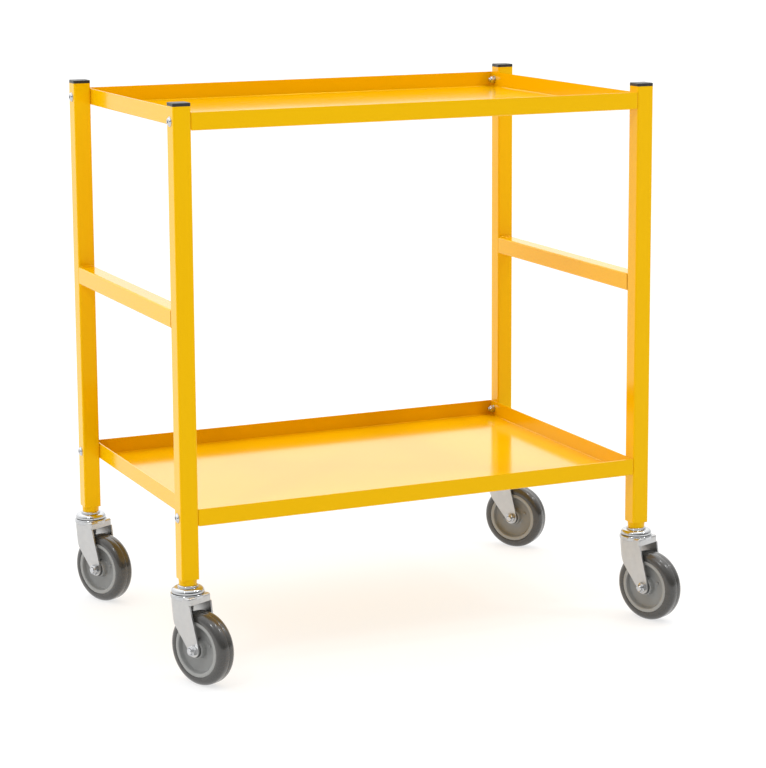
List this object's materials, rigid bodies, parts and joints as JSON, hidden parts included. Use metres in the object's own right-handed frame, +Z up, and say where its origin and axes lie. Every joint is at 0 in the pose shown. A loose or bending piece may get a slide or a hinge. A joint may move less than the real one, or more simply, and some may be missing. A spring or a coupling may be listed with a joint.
{
  "type": "two-shelf tray trolley",
  "caption": "Open trolley with square tube posts, flat tray shelves with upturned lips, end cross rails and swivel castors that turn without limit.",
  "frame": {"origin": "on the floor, below the middle of the whole trolley's bounding box, castors included", "axes": "+X along the long side to the right, +Y from the front to the rear, +Z up"},
  "size_m": [0.7656, 0.5275, 0.7775],
  "materials": {
    "yellow_paint": "high-gloss yellow powder coat",
    "black_plastic": "moulded, slightly satin",
    "bright_zinc": "bright zinc plate",
    "zinc": "zinc plated",
    "tyre": "smooth, slightly glossy",
    "grey_plastic": "moulded, satin",
    "bearing_plastic": "moulded"
  },
  "bodies": {
    "frame": {"front_left_post": "yellow_paint", "front_left_post_cap": "black_plastic", "front_left_foot_insert": "yellow_paint", "front_left_king_bolt": "zinc", "front_left_raceway_cap": "bright_zinc", "front_right_post": "yellow_paint", "front_right_post_cap": "black_plastic", "front_right_foot_insert": "yellow_paint", "front_right_king_bolt": "zinc", "front_right_raceway_cap": "bright_zinc", "rear_left_post": "yellow_paint", "rear_left_post_cap": "black_plastic", "rear_left_foot_insert": "yellow_paint", "rear_left_king_bolt": "zinc", "rear_left_raceway_cap": "bright_zinc", "rear_right_post": "yellow_paint", "rear_right_post_cap": "black_plastic", "rear_right_foot_insert": "yellow_paint", "rear_right_king_bolt": "zinc", "rear_right_raceway_cap": "bright_zinc", "left_cross_rail": "yellow_paint", "right_cross_rail": "yellow_paint", "rail_welds": "yellow_paint", "upper_shelf": "yellow_paint", "lower_shelf": "yellow_paint", "shelf_bolts": "zinc", "shelf_washers": "zinc", "shelf_nuts": "zinc"},
    "front_left_swivel": {"front_left_fork": "bright_zinc", "front_left_swivel_balls": "bright_zinc", "front_left_axle_bolt": "zinc", "front_left_axle_nut": "zinc", "front_left_axle_sleeve": "zinc"},
    "front_left_wheel": {"front_left_wheel_core": "grey_plastic", "front_left_tyre": "tyre", "front_left_wheel_bearings": "bearing_plastic"},
    "front_right_swivel": {"front_right_fork": "bright_zinc", "front_right_swivel_balls": "bright_zinc", "front_right_axle_bolt": "zinc", "front_right_axle_nut": "zinc", "front_right_axle_sleeve": "zinc"},
    "front_right_wheel": {"front_right_wheel_core": "grey_plastic", "front_right_tyre": "tyre", "front_right_wheel_bearings": "bearing_plastic"},
    "rear_left_swivel": {"rear_left_fork": "bright_zinc", "rear_left_swivel_balls": "bright_zinc", "rear_left_axle_bolt": "zinc", "rear_left_axle_nut": "zinc", "rear_left_axle_sleeve": "zinc"},
    "rear_left_wheel": {"rear_left_wheel_core": "grey_plastic", "rear_left_tyre": "tyre", "rear_left_wheel_bearings": "bearing_plastic"},
    "rear_right_swivel": {"rear_right_fork": "bright_zinc", "rear_right_swivel_balls": "bright_zinc", "rear_right_axle_bolt": "zinc", "rear_right_axle_nut": "zinc", "rear_right_axle_sleeve": "zinc"},
    "rear_right_wheel": {"rear_right_wheel_core": "grey_plastic", "rear_right_tyre": "tyre", "rear_right_wheel_bearings": "bearing_plastic"}
  },
  "joints": [
    {"name": "front_left_swivel_turn", "type": "hinge", "parent": "frame", "child": "front_left_swivel", "pos_m": [-0.36, -0.191, 0.1232], "axis": [0, 0, 1], "continuous": true},
    {"name": "front_left_wheel_spin", "type": "hinge", "parent": "front_left_swivel", "child": "front_left_wheel", "pos_m": [-0.34901, -0.21456, 0.05], "axis": [0.9063, 0.4226, 0], "continuous": true},
    {"name": "front_right_swivel_turn", "type": "hinge", "parent": "frame", "child": "front_right_swivel", "pos_m": [0.33, -0.191, 0.1232], "axis": [0, 0, 1], "continuous": true},
    {"name": "front_right_wheel_spin", "type": "hinge", "parent": "front_right_swivel", "child": "front_right_wheel", "pos_m": [0.33974, -0.21511, 0.05], "axis": [0.9272, 0.3746, 0], "continuous": true},
    {"name": "rear_left_swivel_turn", "type": "hinge", "parent": "frame", "child": "rear_left_swivel", "pos_m": [-0.36, 0.239, 0.1232], "axis": [0, 0, 1], "continuous": true},
    {"name": "rear_left_wheel_spin", "type": "hinge", "parent": "rear_left_swivel", "child": "rear_left_wheel", "pos_m": [-0.3486, 0.21563, 0.05], "axis": [0.8988, 0.4384, 0], "continuous": true},
    {"name": "rear_right_swivel_turn", "type": "hinge", "parent": "frame", "child": "rear_right_swivel", "pos_m": [0.33, 0.239, 0.1232], "axis": [0, 0, 1], "continuous": true},
    {"name": "rear_right_wheel_spin", "type": "hinge", "parent": "rear_right_swivel", "child": "rear_right_wheel", "pos_m": [0.34565, 0.21824, 0.05], "axis": [0.7986, 0.6018, 0], "continuous": true}
  ]
}
